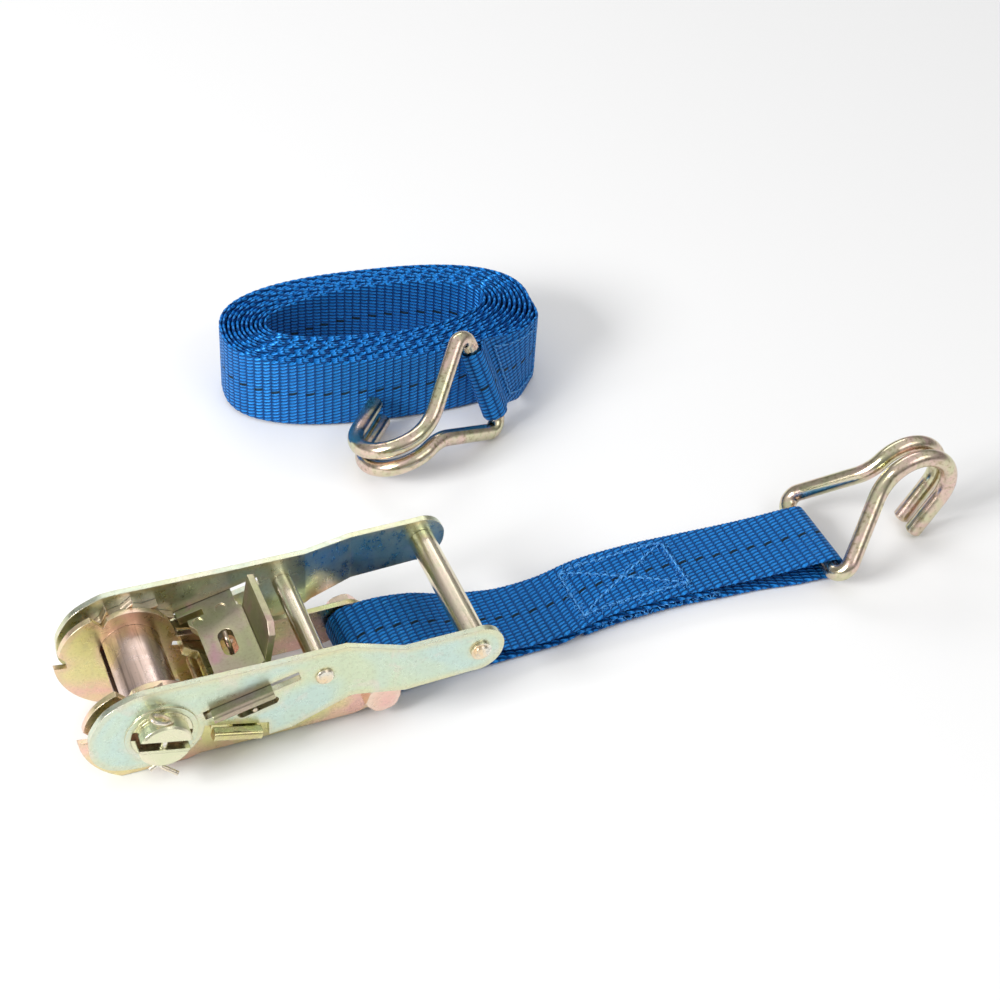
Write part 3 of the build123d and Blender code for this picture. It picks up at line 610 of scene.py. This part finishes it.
def tail_path():
    """Off the roll, along the outer side of the tail, round the hook's bar and back along the inner side."""
    up = LONG_BAR_UP
    out, loop_middle = tail_frame()
    side = up.cross(out)
    neck = loop_middle + out * 6.4
    middles = [Vector((173.6, 121.0, 13.85)), Vector((170.2, 116.6, 13.85)), Vector((165.4, 112.6, 14.0)),
               Vector((159.2, 108.2, 15.4)), neck]
    leans = (0, 0.05, 0.25, 0.6, 1)
    ups = [(Vector((0, 0, 1)) * (1 - lean) + up * lean).normalized() for lean in leans]
    gap = WEBBING_THICKNESS / 2 + 0.05
    path = []
    for number, (middle, tilt) in enumerate(zip(middles, ups)):
        before = middles[max(number - 1, 0)]
        after = middles[min(number + 1, len(middles) - 1)]
        sideways = tilt.cross(after - before).normalized()
        path.append((middle, tilt, sideways))
    outer = [(middle + sideways * gap, tilt) for middle, tilt, sideways in path]
    inner = [(middle - sideways * gap, tilt) for middle, tilt, sideways in reversed(path)]
    radius = LOOP_RADIUS
    ring = []
    for angle in range(-140, 141, 20):
        turn = radians(angle + 180)
        ring.append((loop_middle + out * (radius * cos(turn)) - side * (radius * sin(turn)), up))
    return outer, ring, inner


def make_long_strap():
    turns, _ = even_steps(roll_path(), 1.0)
    outer, ring, inner = tail_path()
    path, _ = smooth_path(turns[::6] + outer + ring + inner, 1.0)
    strap, length = make_webbing("long_webbing", path, RIB_PITCH / 3, 12, "long_strap",
                                ROLL_WEBBING_THICKNESS)
    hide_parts("strap_coil", "coil_tail")
    print("long strap length", round(length), "mm")
    return strap


# Stitching --------------------------------------------------------------------------------------

def stitch_row(start, end, pitch, surface):
    """Bars of thread along one seam: surface(along, across) gives a point and its outward normal."""
    bars = []
    length = ((end[0] - start[0]) ** 2 + (end[1] - start[1]) ** 2) ** 0.5
    count = max(2, round(length / pitch))
    for number in range(count):
        ends = []
        for share in (number + 0.08, number + 0.92):
            part = share / count
            ends.append(surface(start[0] + (end[0] - start[0]) * part, start[1] + (end[1] - start[1]) * part))
        bars.append(ends)
    return bars


def make_stitches(name, bars, radius, body, node):
    """Each stitch is a small bowed thread that dips into the webbing at both ends."""
    vertices = []
    faces = []
    sections = 6
    around = 6
    for (start, start_normal), (end, end_normal) in bars:
        along = (end - start).normalized()
        first = len(vertices)
        for section in range(sections + 1):
            share = section / sections
            normal = start_normal.lerp(end_normal, share).normalized()
            rise = radius * (1.5 * sin(pi * share) - 0.6)
            centre = start.lerp(end, share) + normal * rise
            side = along.cross(normal)
            for step in range(around):
                turn = 2 * pi * step / around
                vertices.append(place(centre + side * (radius * cos(turn)) + normal * (radius * sin(turn))))
        for section in range(sections):
            for step in range(around):
                a = first + section * around + step
                b = first + section * around + (step + 1) % around
                faces.append((a, b, b + around, a + around))
        faces.append(tuple(first + k for k in range(around - 1, -1, -1)))
        faces.append(tuple(first + sections * around + k for k in range(around)))
    piece = link_mesh(name, vertices, faces, sewing_thread, body)
    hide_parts(node)
    return piece


def tube(vertices, faces, points, radius):
    """A thin round thread through a few points."""
    first = len(vertices)
    around = 5
    for number, point in enumerate(points):
        after = points[min(number + 1, len(points) - 1)]
        before = points[max(number - 1, 0)]
        along = (after - before).normalized()
        side = along.cross(Vector((0.3, 0.2, 1.0))).normalized()
        up = side.cross(along)
        for step in range(around):
            turn = 2 * pi * step / around
            vertices.append(place(point + side * (radius * cos(turn)) + up * (radius * sin(turn))))
    for number in range(len(points) - 1):
        for step in range(around):
            a = first + number * around + step
            b = first + number * around + (step + 1) % around
            faces.append((a, b, b + around, a + around))
    faces.append(tuple(first + k for k in range(around - 1, -1, -1)))
    faces.append(tuple(first + (len(points) - 1) * around + k for k in range(around)))


def make_fluff(name, spots, per_spot, length, body):
    """Loose fibres pulled up by the needle: short arches scattered about each spot."""
    chance = Random(7)
    vertices = []
    faces = []
    for spot, normal in spots:
        for _ in range(per_spot):
            start = spot + Vector((chance.uniform(-1.2, 1.2), chance.uniform(-1.2, 1.2), 0.0))
            heading = chance.uniform(0, 2 * pi)
            reach = Vector((cos(heading), sin(heading), 0.0)) * (length * chance.uniform(0.5, 1.1))
            rise = normal * chance.uniform(0.25, 0.6)
            dip = normal * 0.12
            points = [start - dip, start + reach * 0.25 + rise * 0.8, start + reach * 0.6 + rise,
                      start + reach - dip]
            tube(vertices, faces, points, 0.1)
    return link_mesh(name, vertices, faces, sewing_thread, body)


def make_frayed_edge():
    """Cut yarns sticking out of the end of the middle layer and along the lower edge of the stitching."""
    chance = Random(11)
    vertices = []
    faces = []
    for number in range(90):
        across = -13.2 + 26.4 * number / 89
        start = strap_point(184.0, across, 3.3 + chance.uniform(-0.5, 0.5))
        reach = Vector((chance.uniform(0.8, 2.6), chance.uniform(-1.2, 0.8), chance.uniform(-0.9, 0.7)))
        tube(vertices, faces, [start - Vector((0.8, 0, 0)), start, start + reach * 0.6, start + reach], 0.16)
    for number in range(46):
        x = 142.0 + 44.0 * number / 45 + chance.uniform(-0.6, 0.6)
        start = strap_point(x, -13.3, chance.uniform(2.4, 3.8))
        reach = Vector((chance.uniform(-1.6, 1.6), -chance.uniform(0.3, 1.4), chance.uniform(-0.7, 0.6)))
        tube(vertices, faces, [start + Vector((0, 0.6, 0)), start, start + reach * 0.6, start + reach], 0.15)
    return link_mesh("short_strap_fray", vertices, faces, sewing_thread, "short_strap")


def make_short_stitching():
    half = STITCH_WIDTH / 2
    end = STITCH_START_X + STITCH_LENGTH

    def surface(along, across):
        top = interpolate(TOP_LAYER, along) + WEBBING_THICKNESS / 2
        return strap_point(along, across, top), Vector((0, 0, 1))

    corners = [(STITCH_START_X, -half), (end, -half), (end, half), (STITCH_START_X, half)]
    bars = []
    for start, stop in zip(corners, corners[1:] + corners[:1]):
        bars += stitch_row(start, stop, 2.9, surface)
    bars += stitch_row(corners[0], corners[2], 2.9, surface)
    bars += stitch_row(corners[1], corners[3], 2.9, surface)
    make_stitches("short_strap_stitches", bars, 0.36, "short_strap", "short_strap_stitching")
    seams = list(zip(corners, corners[1:] + corners[:1]))
    seams += [(corners[0], corners[2]), (corners[1], corners[3])]
    loose = []
    for start, stop in seams:
        loose += [(start[0] + (stop[0] - start[0]) * k / 18, start[1] + (stop[1] - start[1]) * k / 18)
                  for k in range(18)]
    make_fluff("short_strap_fluff", [surface(x, y) for x, y in loose], 3, 2.0, "short_strap")
    make_frayed_edge()


def make_tail_stitching():
    outer = tail_path()[0]
    total = len(outer) - 1

    def surface(along, across):
        index = min(int(along * total), total - 1)
        share = along * total - index
        point = outer[index][0].lerp(outer[index + 1][0], share)
        tilt = outer[index][1].lerp(outer[index + 1][1], share).normalized()
        outward = tilt.cross(outer[index + 1][0] - outer[index][0]).normalized()
        return point + tilt * across + outward * (WEBBING_THICKNESS / 2), outward

    half = STITCH_WIDTH / 2
    corners = [(0.14, -half), (0.93, -half), (0.93, half), (0.14, half)]
    bars = []
    for start, stop in zip(corners, corners[1:] + corners[:1]):
        length = 23.0 if start[1] == stop[1] else STITCH_WIDTH
        count = max(2, round(length / 2.9))
        for number in range(count):
            ends = []
            for part in ((number + 0.08) / count, (number + 0.92) / count):
                ends.append(surface(start[0] + (stop[0] - start[0]) * part,
                                    start[1] + (stop[1] - start[1]) * part))
            bars.append(ends)
    make_stitches("tail_stitches", bars, 0.34, "long_strap", "coil_tail_stitching")


webbing_blue = webbing_material()
sewing_thread = thread_material()
make_camera()
make_floor()
make_lights()
dress_cad_nodes()
make_short_strap()
make_long_strap()
make_short_stitching()
make_tail_stitching()
